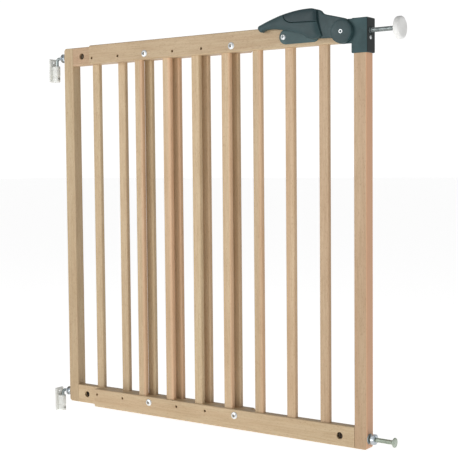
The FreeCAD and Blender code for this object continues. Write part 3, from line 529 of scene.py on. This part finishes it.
def hollows():
    """The cover's recess and the way in for the catch's striker, in the lever's back."""
    recess = [Vector((min(point.x, COVER_END), point.y)) for point in shrunk(GRIP, 1.0)]
    recess = [point for point, after in zip(recess, recess[1:] + recess[:1]) if (point - after).length > 0.05]
    way = outline(((-68, -20), (-58, -20)), ((-58, -20), (-58, 4.5)), ((-58, 4.5), (-68, 4.5)),
                  ((-68, 4.5), (-68, -20)), spacing=50)
    return slab(recess, -1, 1.7), slab(way, -1, 9)


def lever_pieces():
    """The moulded lever, with its arm and pivot disc, and the thumb button set in the grip."""
    lower = region(GRIP, BUTTON_ZONE, False)
    upper = region(GRIP, [p + Vector((BUTTON_SEAM, BUTTON_SEAM)) for p in BUTTON_ZONE], True)
    base = region(GRIP, [p + Vector((BASE_SEAM, BASE_SEAM)) for p in BUTTON_ZONE], True)
    shape = bmesh.new()
    plate(shape, lower, 0, GRIP_FRONT, 1.1, grip_crown)
    plate(shape, base, 0, ARM_FRONT, 0.3)
    plate(shape, ARM, 0, ARM_FRONT, 1.2, lambda p: 0.25 * math.exp(-gap_to(p, ARM) / 3))
    plate(shape, disc_outline((0, 0), 20), 0.2, DISC_FRONT, 0.9,
          lambda p: 0.9 * math.exp(-(20 - p.length) / 3.5))
    settle("lever_moulding", carve(shape, *hollows()), latch_slate, "latch_lever",
           ["lever_grip"])
    shape = bmesh.new()
    plate(shape, upper, ARM_FRONT + 0.4, BUTTON_FRONT, 1.3, grip_crown)
    settle("thumb_button", shape, button_slate, "release_button", ["release_button"])


def catch_piece():
    """The pill-shaped catch with its striker."""
    low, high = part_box("catch_plate")
    tall = (high.z - low.z) / MM
    left, right = (low.x - PIVOT.x) / MM + tall / 2, (high.x - PIVOT.x) / MM - tall / 2
    pill = disc_outline((right, 0), tall / 2, 32, -90, 180) + disc_outline((left, 0), tall / 2, 32, 90, 180)
    back = (LEVER_BACK - PANEL_FACE) / MM
    shape = bmesh.new()
    plate(shape, pill, back, back + CATCH_THICK, 1.2, lambda p: 0.35 * math.exp(-gap_to(p, pill) / 2.0))
    striker = STRIKER_X
    block = [Vector((striker, -3.6)), Vector((striker + 5, -3.6)), Vector((striker + 5, 2.6)),
             Vector((striker + 4.4, 3.0)), Vector((striker, 3.0))]
    plate(shape, block, back + CATCH_THICK - 1, back + CATCH_THICK + 6.5, 0.5)
    settle("catch_moulding", shape, catch_slate, "front_panel", ["catch_plate"])


# ---------------------------------------------------------------- turned, threaded and screwed fittings

class Maker(Tree):
    """A geometry tree with named inputs for its sizes, turned into a plain mesh by grow()."""

    def __init__(self, name, **sizes):
        self.name = name
        self.group = bpy.data.node_groups.new(name, "GeometryNodeTree")
        super().__init__(self.group)
        self.group.interface.new_socket("Geometry", in_out="INPUT", socket_type="NodeSocketGeometry")
        self.group.interface.new_socket("Geometry", in_out="OUTPUT", socket_type="NodeSocketGeometry")
        self.sizes = sizes
        self.keys = {}
        for label, size in sizes.items():
            kind = "NodeSocketInt" if type(size) is int else "NodeSocketFloat"
            made = self.group.interface.new_socket(label, in_out="INPUT", socket_type=kind)
            self.keys[label] = made.identifier
        self.entry = self.tree.nodes.new("NodeGroupInput")

    def size(self, label):
        """One of the named inputs."""
        return Socket(self, self.entry.outputs[label])

    def on_points(self, geometry):
        """The geometry, once on each point that the tree is given."""
        given = Socket(self, self.entry.outputs["Geometry"])
        points = self.node("GeometryNodeMeshToPoints", None, {"Mesh": given})
        return self.node("GeometryNodeInstanceOnPoints", None, {"Points": points, "Instance": geometry})

    def finish(self, geometry, material):
        """Ends the tree: instances made real, and the finish set."""
        real = self.node("GeometryNodeRealizeInstances", None, {"Geometry": geometry})
        coated = self.node("GeometryNodeSetMaterial", None, {"Geometry": real, "Material": material})
        leave = self.tree.nodes.new("NodeGroupOutput")
        self.join(leave.inputs["Geometry"], coated)

    def grow(self, points=((0, 0, 0),)):
        """The tree's mesh, grown on the points."""
        seed = bpy.data.meshes.new(f"{self.name}_points")
        seed.from_pydata([tuple(point) for point in points], [], [])
        holder = bpy.data.objects.new(f"{self.name}_points", seed)
        bpy.context.scene.collection.objects.link(holder)
        modifier = holder.modifiers.new(self.name, "NODES")
        modifier.node_group = self.group
        for label, size in self.sizes.items():
            modifier[self.keys[label]] = size
        graph = bpy.context.evaluated_depsgraph_get()
        mesh = bpy.data.meshes.new_from_object(holder.evaluated_get(graph), depsgraph=graph)
        bpy.data.objects.remove(holder)
        shape = bmesh.new()
        shape.from_mesh(mesh)
        return shape


def aimed(tree, geometry, axis):
    """Geometry made along Z, turned to point along +X, -X, +Y or -Y."""
    turn = {"+x": (0, 90, 0), "-x": (0, -90, 0), "+y": (-90, 0, 0), "-y": (90, 0, 0)}[axis]
    return tree.node("GeometryNodeTransform", None,
                     {"Geometry": geometry, "Rotation": tuple(math.radians(angle) for angle in turn)})


HEAD_UNDERSIDE = -0.25


def screw_heads(name, centres, axis, material, rad, rise, slot_long, slot_wide, slot_deep, key=False):
    """Domed heads, one on each centre, with a cross recess or the six-sided recess of a key.

    The sizes are in millimetres. HEAD_UNDERSIDE is where the dome is cut flat, as a share of its rise.
    """
    tree = Maker(name, head_radius=rad * MM, head_rise=rise * MM, slot_length=slot_long * MM,
                 slot_width=slot_wide * MM, slot_depth=slot_deep * MM)
    ball = tree.node("GeometryNodeMeshUVSphere", None, {"Segments": 32, "Rings": 20, "Radius": 1.0},
                     out="Mesh")
    place = tree.node("GeometryNodeInputPosition")
    x, y, z = (tree.node("ShaderNodeSeparateXYZ", None, {"Vector": place}, out=part) for part in "XYZ")
    plump = tree.node("ShaderNodeCombineXYZ", None,
                      {"X": x * tree.size("head_radius"), "Y": y * tree.size("head_radius"),
                       "Z": tree.math("MAXIMUM", z, HEAD_UNDERSIDE) * tree.size("head_rise")})
    dome = tree.node("GeometryNodeSetPosition", None, {"Geometry": ball, "Position": plump})
    tools = []
    lift = tree.node("ShaderNodeCombineXYZ", None, {"Z": tree.size("head_rise")})
    if key:
        six = tree.node("GeometryNodeMeshCylinder", None,
                        {"Vertices": 6, "Radius": tree.size("slot_length") * 0.5,
                         "Depth": tree.size("slot_depth") * 2}, out="Mesh")
        tools.append(tree.node("GeometryNodeTransform", None, {"Geometry": six, "Translation": lift}))
    for across in () if key else (False, True):
        long, wide = tree.size("slot_length"), tree.size("slot_width")
        size = tree.node("ShaderNodeCombineXYZ", None,
                         {"X": wide if across else long, "Y": long if across else wide,
                          "Z": tree.size("slot_depth") * 2})
        cube = tree.node("GeometryNodeMeshCube", None, {"Size": size}, out="Mesh")
        tools.append(tree.node("GeometryNodeTransform", None, {"Geometry": cube, "Translation": lift}))
    recess = tree.tree.nodes.new("GeometryNodeMeshBoolean")
    recess.operation = "DIFFERENCE"
    tree.join(recess.inputs["Mesh 1"], dome)
    for tool in tools:
        tree.join(recess.inputs["Mesh 2"], tool)
    tree.finish(tree.on_points(aimed(tree, Socket(tree, recess.outputs["Mesh"]), axis)), material)
    return tree.grow(centres)


THREAD_PITCH, THREAD_DEPTH = 1.25, 0.45


def thread(name, start, length, material):
    """A rod along +X, length metres long, with a screw thread wound on it."""
    tree = Maker(name, rod_radius=ROD_RAD * MM, rod_length=length, thread_pitch=THREAD_PITCH * MM,
                 thread_depth=THREAD_DEPTH * MM)
    turns = tree.size("rod_length") / tree.size("thread_pitch")
    core = tree.size("rod_radius") - tree.size("thread_depth")
    coil = tree.node("GeometryNodeCurveSpiral", None,
                     {"Resolution": 20, "Rotations": turns, "Start Radius": core, "End Radius": core,
                      "Height": tree.size("rod_length")})
    ridge = tree.node("GeometryNodeCurvePrimitiveCircle", None,
                      {"Resolution": 4, "Radius": tree.size("thread_depth")})
    wound = tree.node("GeometryNodeCurveToMesh", None,
                      {"Curve": coil, "Profile Curve": ridge, "Fill Caps": True})
    shank = tree.node("GeometryNodeMeshCylinder", None,
                      {"Vertices": 24, "Radius": core, "Depth": tree.size("rod_length")}, out="Mesh")
    lift = tree.node("ShaderNodeCombineXYZ", None, {"Z": tree.size("rod_length") * 0.5})
    raised = tree.node("GeometryNodeTransform", None, {"Geometry": shank, "Translation": lift})
    both = tree.tree.nodes.new("GeometryNodeJoinGeometry")
    for part in (wound, raised):
        tree.join(both.inputs["Geometry"], part)
    tree.finish(tree.on_points(aimed(tree, Socket(tree, both.outputs["Geometry"]), "+x")), material)
    return tree.grow([start])


def turned(shape, profile, origin, axis, count=40):
    """Adds a solid of revolution: the profile is (distance along the axis, radius) pairs in millimetres.

    The axis is x, y or z from the origin, and a capital letter is the way back.
    """
    along = Vector({"x": (1, 0, 0), "y": (0, 1, 0), "z": (0, 0, 1)}[axis.lower()])
    if axis.isupper():
        along = -along
    side = Vector((0, 0, 1)) if axis.lower() != "z" else Vector((1, 0, 0))
    other = along.cross(side)
    rings = []
    for reach, rad in profile:
        middle = Vector(origin) + along * reach * MM
        if rad == 0:
            rings.append([shape.verts.new(middle)])
            continue
        rings.append([shape.verts.new(middle + (side * math.cos(t) + other * math.sin(t)) * rad * MM)
                      for t in (2 * math.pi * n / count for n in range(count))])
    for near, far in zip(rings, rings[1:]):
        for n in range(count):
            m = (n + 1) % count
            corners = [near[n % len(near)], near[m % len(near)], far[m % len(far)], far[n % len(far)]]
            shape.faces.new(list(dict.fromkeys(corners)))


WELD_GAP = 0.002 * MM


def carve(shape, *tools):
    """Cuts the tools out of a shape."""
    holders = []
    for solid in (shape, *tools):
        bmesh.ops.recalc_face_normals(solid, faces=solid.faces)
        mesh = bpy.data.meshes.new("blank")
        solid.to_mesh(mesh)
        solid.free()
        holder = bpy.data.objects.new("blank", mesh)
        bpy.context.scene.collection.objects.link(holder)
        holders.append(holder)
    for tool in holders[1:]:
        cutter = holders[0].modifiers.new("cut", "BOOLEAN")
        cutter.object = tool
        cutter.solver = "EXACT"
        cutter.use_self = True
    graph = bpy.context.evaluated_depsgraph_get()
    result = bmesh.new()
    result.from_mesh(bpy.data.meshes.new_from_object(holders[0].evaluated_get(graph), depsgraph=graph))
    for holder in holders:
        bpy.data.objects.remove(holder)
    bmesh.ops.remove_doubles(result, verts=result.verts, dist=WELD_GAP)
    return result


def drill(origin, axis, length, rad, count=24):
    """A round cutting tool, with its length and radius in millimetres."""
    tool = bmesh.new()
    turned(tool, [(0, 0), (0, rad), (length, rad), (length, 0)], origin, axis, count)
    return tool


def clamp_places():
    """The adjusting holes that hold clamp screws, in the front face of both front rails."""
    bottom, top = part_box("front_bottom_rail"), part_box("front_top_rail")
    return [Vector((bottom[0].x + (HOLE_FIRST + n * HOLE_PITCH) * MM, PANEL_FACE, level))
            for level in (bottom[0].z + HOLE_EDGE * MM, top[1].z - HOLE_EDGE * MM) for n in CLAMPED_HOLES]


def centre_of(node):
    """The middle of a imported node's box."""
    low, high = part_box(node)
    return (low + high) / 2


def screws_and_rivet():
    """The heads of the clamp, catch, cap and cover screws, and the rivet that the lever turns on."""
    heads = screw_heads("clamp_heads", clamp_places(), "-y", bright_zinc, 6.8, 2.8, 7, 0, 3.8, key=True)
    for centre in clamp_places():
        turned(heads, [(1.6, 0), (1.6, 2.5), (-0.1, 3.0), (-0.1, 3.5), (2.0, 3.5), (2.8, 2.4), (15.5, 2.4),
                       (16.5, 1.6), (16.5, 0)], centre, "y", 20)
    settle("clamp_screw_set", heads, bright_zinc, "front_panel", ["clamp_screws"])

    level = PANEL_FACE - CATCH_THICK * MM
    left, right = (Vector((PIVOT.x + reach * MM, level, PIVOT.z)) for reach in CATCH_SCREWS_X)
    heads = screw_heads("catch_heads", [left], "-y", bright_zinc, 5.3, 2.0, 5.8, 1.7, 2.6)
    for centre in (left, right):
        turned(heads, [(2.4, 0), (2.4, 1.45), (13, 1.45), (14, 0)], centre, "y", 16)
    turned(heads, [(0.9, 0), (0.9, 3.2), (1.4, 3.7), (1.6, 0)], right, "y", 24)
    settle("catch_screw_set", heads, bright_zinc, "front_panel", ["catch_screws"])

    low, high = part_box("cap_screw")
    side = Vector((high.x - 1.2 * MM, *centre_of("cap_screw").yz))
    heads = screw_heads("cap_head", [side], "+x", bright_zinc, 3.3, 1.5, 3.6, 0.9, 1.3)
    turned(heads, [(0.1, 0), (0.1, 1.45), (20, 1.45), (21, 0)], side, "X", 16)
    settle("cap_screw_set", heads, bright_zinc, "front_panel", ["cap_screw"])

    back = LEVER_BACK - 0.5 * MM
    posts = [Vector((PIVOT.x + x * MM, back, PIVOT.z + z * MM)) for x, z in COVER_POSTS]
    heads = screw_heads("cover_heads", posts, "+y", bright_zinc, 2.35, 0.7, 2.8, 0.7, 0.6)
    settle("cover_screw_set", heads, bright_zinc, "latch_lever", ["cover_screws"])

    low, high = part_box("pivot_rivet")
    shape = bmesh.new()
    long = (high.y - low.y) / MM
    turned(shape, [(1.3, 0), (1.3, 1.7), (0.45, 1.9), (0.1, 2.3), (0, 2.8), (0.12, 3.3), (0.5, 3.6),
                   (0.9, 3.7), (0.95, 3.0), (long - 1, 3.0), (long - 0.9, 5.9), (long - 0.3, 6),
                   (long, 5.2), (long, 0)], (PIVOT.x, low.y, PIVOT.z), "y")
    settle("pivot_rivet_turned", shape, bright_zinc, "front_panel", ["pivot_rivet"])


def pad_and_stud():
    """The wall pad on its threaded rod, and the lower stud with its round head."""
    low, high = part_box("pad_rod")
    middle = centre_of("pad_rod")
    rod = thread("pad_thread", Vector((low.x, middle.y, middle.z)), high.x - low.x, zinc)
    settle("pad_thread", rod, zinc, "wall_pad", ["pad_rod"])
    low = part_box("wall_pad")[0]
    shape = bmesh.new()
    turned(shape, [(4.0, 0), (4.0, 4.1), (0, 4.1), (0, 7.6), (0.3, 9.0), (0.8, 12.0), (1.1, 14.6),
                   (1.6, 16.8), (2.4, 18.1), (3.8, 18.8), (6.0, 19.0), (9.5, 18.9), (10.7, 18.2),
                   (11.5, 16.9), (11.95, 15.2), (11.8, 13.6), (11.55, 9.0), (11.5, 0)],
           (low.x, middle.y, middle.z), "x", 64)
    settle("pad_turned", shape, pad_white, "wall_pad", ["wall_pad"])
    low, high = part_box("lower_stud")
    middle = centre_of("lower_stud")
    long = (high.x - low.x) / MM
    stud = thread("stud_thread", Vector((low.x, middle.y, middle.z)), (long - 7) * MM, zinc)
    turned(stud, [(long - 9, 0), (long - 9, 3.3), (long - 8, 4.0), (long - 6.2, 4.2), (long - 4.8, 5.0),
                  (long - 3.6, 6.6), (long - 2.9, 8.0), (long - 2.3, 8.5), (long - 0.9, 8.5),
                  (long - 0.3, 8.2), (long, 7.4), (long, 0)], (low.x, middle.y, middle.z), "x", 48)
    settle("stud_turned", stud, head_zinc, "lower_stud", ["lower_stud"])


def wall_bracket(side):
    """A white wall plate with a round-nosed block that the hook drops into."""
    node = f"{side}_wall_bracket"
    low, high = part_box(node)
    wide, tall = (high.y - low.y) / MM, (high.z - low.z) / MM
    centre = (low.z + high.z) / 2
    nose = HOOK_X + BLOCK_RAD
    shape = bmesh.new()
    face = rounded_rectangle(wide, tall, 2.5)
    plate(shape, face, 0, 3, 0.9, at=lambda p, level: (low.x + level * MM, p.x * MM, centre + p.y * MM))
    for rad, start, stop in ((BLOCK_RAD - 0.35, 0, 13), (BLOCK_RAD, 12.2, 33)):
        block = [Vector((2.6, -rad)), *disc_outline((HOOK_X, 0), rad, 28, -90, 180), Vector((HOOK_X, rad)),
                 Vector((2.6, rad))]
        for flip in (1, -1):
            middle = (start + stop) / 2
            plate(shape, block, 0, (stop - start) / 2, 0.7, at=lambda p, level: (
                low.x + p.x * MM, p.y * MM, low.z + (middle + flip * level) * MM))
    tools = [drill((low.x + HOOK_X * MM, 0, low.z + 14 * MM), "z", 22, 3.1)]
    for level in (-BRACKET_SCREWS, BRACKET_SCREWS):
        tools.append(drill((low.x - 1 * MM, 0, centre + level * MM), "x", nose + 3, 2.25))
    tools.append(drill((low.x + 4.5 * MM, 0, centre - BRACKET_SCREWS * MM), "x", nose, 3.1))
    settle(f"{side}_bracket_moulding", carve(shape, *tools), bracket_white, "wall_brackets",
           [node])


def rounded_rectangle(wide, tall, rad):
    """An outline with round corners, in millimetres."""
    loop = []
    for turn, (x, y) in zip((0, 90, 180, 270), ((1, 1), (-1, 1), (-1, -1), (1, -1))):
        loop += disc_outline((x * (wide / 2 - rad), y * (tall / 2 - rad)), rad, 6, turn, 90)
    return loop


def hexagon(shape, start, thick, rad, middle):
    """A nut with eased corners, along X from start."""
    loop = disc_outline((0, 0), rad, 6)
    sides = []
    for a, b in zip(loop, loop[1:] + loop[:1]):
        sides += [a.lerp(b, share) for share in (0.04, 0.3, 0.5, 0.7, 0.96)]
    for flip in (1, -1):
        plate(shape, sides, 0, thick / 2, 0.6, lambda p: max(0, p.length - rad * 0.88) * 0.6,
              lambda p, level: (start + (thick / 2 + flip * level) * MM, middle.y + p.x * MM,
                                middle.z + p.y * MM))


def nuts_and_washers():
    """The hexagon nuts with their flanges, and the washers behind them."""
    low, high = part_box("hook_nuts")
    washer_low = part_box("hook_washers")[0]
    nuts, washers = bmesh.new(), bmesh.new()
    for level in (low.z + FLANGE_RAD * MM, high.z - FLANGE_RAD * MM):
        middle = Vector((low.x, 0, level))
        turned(nuts, [(0, 0), (0, 7.6), (0.3, 8.6), (0.9, 9.0), (1.7, 9.0), (2.3, 8.2), (2.8, 7.0), (2.8, 0)],
               middle, "x")
        hexagon(nuts, low.x + 2.4 * MM, (high.x - low.x) / MM - 2.4, 7.5, middle)
        turned(washers, [(0, 3.2), (0, 7.6), (0.3, 8), (1.2, 8), (1.5, 7.6), (1.5, 3.2), (0, 3.2)],
               (washer_low.x, 0, level), "x")
    settle("hook_nut_set", nuts, nut_zinc, "rear_panel", ["hook_nuts"])
    settle("hook_washer_set", washers, zinc, "rear_panel", ["hook_washers"])
    low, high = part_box("stud_nut")
    nut = bmesh.new()
    hexagon(nut, low.x, (high.x - low.x) / MM, (high.y - low.y) / MM / 2, (low + high) / 2)
    settle("stud_nut_eased", nut, nut_zinc, "lower_stud", ["stud_nut"])

    low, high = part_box("sleeve_bolt")
    middle = (low + high) / 2
    bolt = bmesh.new()
    turned(bolt, [(0, 4.2), (0, 7.8), (0.25, 8.6), (0.8, 9), (2.1, 9), (2.1, 5.4), (40, 5.4), (40, 4.2),
                  (0, 4.2)], (high.x, middle.y, middle.z), "X", 48)
    ports = [drill((high.x - 1.4 * MM, middle.y + side * 6.7 * MM, middle.z), "x", 3, 1.1, 16)
             for side in (-1, 1)]
    settle("sleeve_bolt_turned", carve(bolt, *ports), zinc, "front_panel", ["sleeve_bolt"])


def barrel_nuts():
    """Cross dowels deep in their holes, with a screwdriver slot in each end."""
    for node, body, name in (("rear_barrel_nuts", "rear_panel", "rear_barrel_set"),
                             ("front_barrel_nut", "front_panel", "front_barrel_turned")):
        low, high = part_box(node)
        long = (high.y - low.y) / MM
        levels = (low.z + 6 * MM, high.z - 6 * MM) if body == "rear_panel" else ((low.z + high.z) / 2,)
        bars, slots = bmesh.new(), bmesh.new()
        for level in levels:
            turned(bars, [(0, 0), (0, 5.2), (0.8, 6), (long - 0.8, 6), (long, 5.2), (long, 0)],
                   ((low.x + high.x) / 2, low.y, level), "y", 36)
            for end in (low.y - 1 * MM, high.y - 1.2 * MM):
                cutter = bmesh.ops.create_cube(slots, size=1)["verts"]
                bmesh.ops.scale(slots, vec=(1.4 * MM, 2.2 * MM, 13 * MM), verts=cutter)
                bmesh.ops.translate(slots, vec=((low.x + high.x) / 2, end + 1.1 * MM, level), verts=cutter)
        settle(name, carve(bars, slots), dull_zinc, body, [node])


lever_pieces()
catch_piece()
screws_and_rivet()
pad_and_stud()
wall_bracket("lower")
wall_bracket("upper")
nuts_and_washers()
barrel_nuts()


# ---------------------------------------------------------------- floor, light and camera

def floor():
    """A wide pale sheet just under the gate."""
    sheet = bpy.data.meshes.new("floor")
    reach = 40
    low = cad_box[0].z - 0.001
    sheet.from_pydata([(-reach, -reach, low), (reach, -reach, low), (reach, reach, low),
                       (-reach, reach, low)], [], [(0, 1, 2, 3)])
    ground = bpy.data.objects.new("floor", sheet)
    bpy.context.scene.collection.objects.link(ground)
    pale = Finish("floor_pale", Roughness=0.9, Specular_IOR_Level=0.1, Emission_Strength=0.82,
                  Emission_Color=(1, 1, 1, 1))
    colour = pale.blend(pale.noise(pale.place, 3, 2), (0.93, 0.93, 0.93, 1), (0.95, 0.95, 0.95, 1))
    sheet.materials.append(pale.paint(Base_Color=colour))


def softbox(name, place, size, watts):
    """A soft rectangular lamp aimed at the middle of the gate."""
    lamp = bpy.data.lights.new(name, "AREA")
    lamp.shape = "RECTANGLE"
    lamp.size, lamp.size_y = size
    lamp.energy = watts
    holder = bpy.data.objects.new(name, lamp)
    bpy.context.scene.collection.objects.link(holder)
    holder.location = place
    holder.rotation_euler = (GATE_MIDDLE - Vector(place)).to_track_quat("-Z", "Y").to_euler()


def daylight(level, shine, backdrop):
    """Even light all round, a brighter room for reflections, and a white backdrop behind the object."""
    world = bpy.data.worlds.new("daylight")
    world.use_nodes = True
    sky = Tree(world.node_tree)
    seen = sky.node("ShaderNodeLightPath", out="Is Camera Ray")
    mirrored = sky.node("ShaderNodeLightPath", out="Is Glossy Ray")
    world.node_tree.nodes["Background"].inputs["Color"].default_value = (1, 1, 1, 1)
    strength = seen * (backdrop - level) + mirrored * (shine - level) + level
    sky.join(world.node_tree.nodes["Background"].inputs["Strength"], strength)
    bpy.context.scene.world = world


def camera():
    """The view from the front right, a little above the middle of the gate."""
    lens = bpy.data.cameras.new("view")
    lens.lens, lens.sensor_width = 85.08, 36
    turn = Matrix.Rotation(math.radians(AZIMUTH), 3, "Z")
    tilt = Matrix.Rotation(math.radians(90 - LOOK_DOWN), 3, "X")
    roll = Matrix.Rotation(math.radians(ROLL), 3, "Z")
    holder = bpy.data.objects.new("view", lens)
    bpy.context.scene.collection.objects.link(holder)
    holder.matrix_world = Matrix.LocRotScale(EYE, turn @ tilt @ roll, None)
    bpy.context.scene.camera = holder


# Places in metres, and angles in degrees.
GATE_MIDDLE = Vector((0.42, 0, 0.37))
EYE = Vector((1.6092, -1.6461, 0.4875))
AZIMUTH, LOOK_DOWN, ROLL = 35.255, 3.294, -0.505

floor()
daylight(0.14, 0.6, 1.05)
softbox("key", (-0.9, -2.6, 1.0), (1.5, 1.5), 33)
softbox("fill", (2.6, -1.0, 1.2), (1.5, 1.8), 10)
camera()
bpy.context.scene.view_settings.view_transform = "Standard"
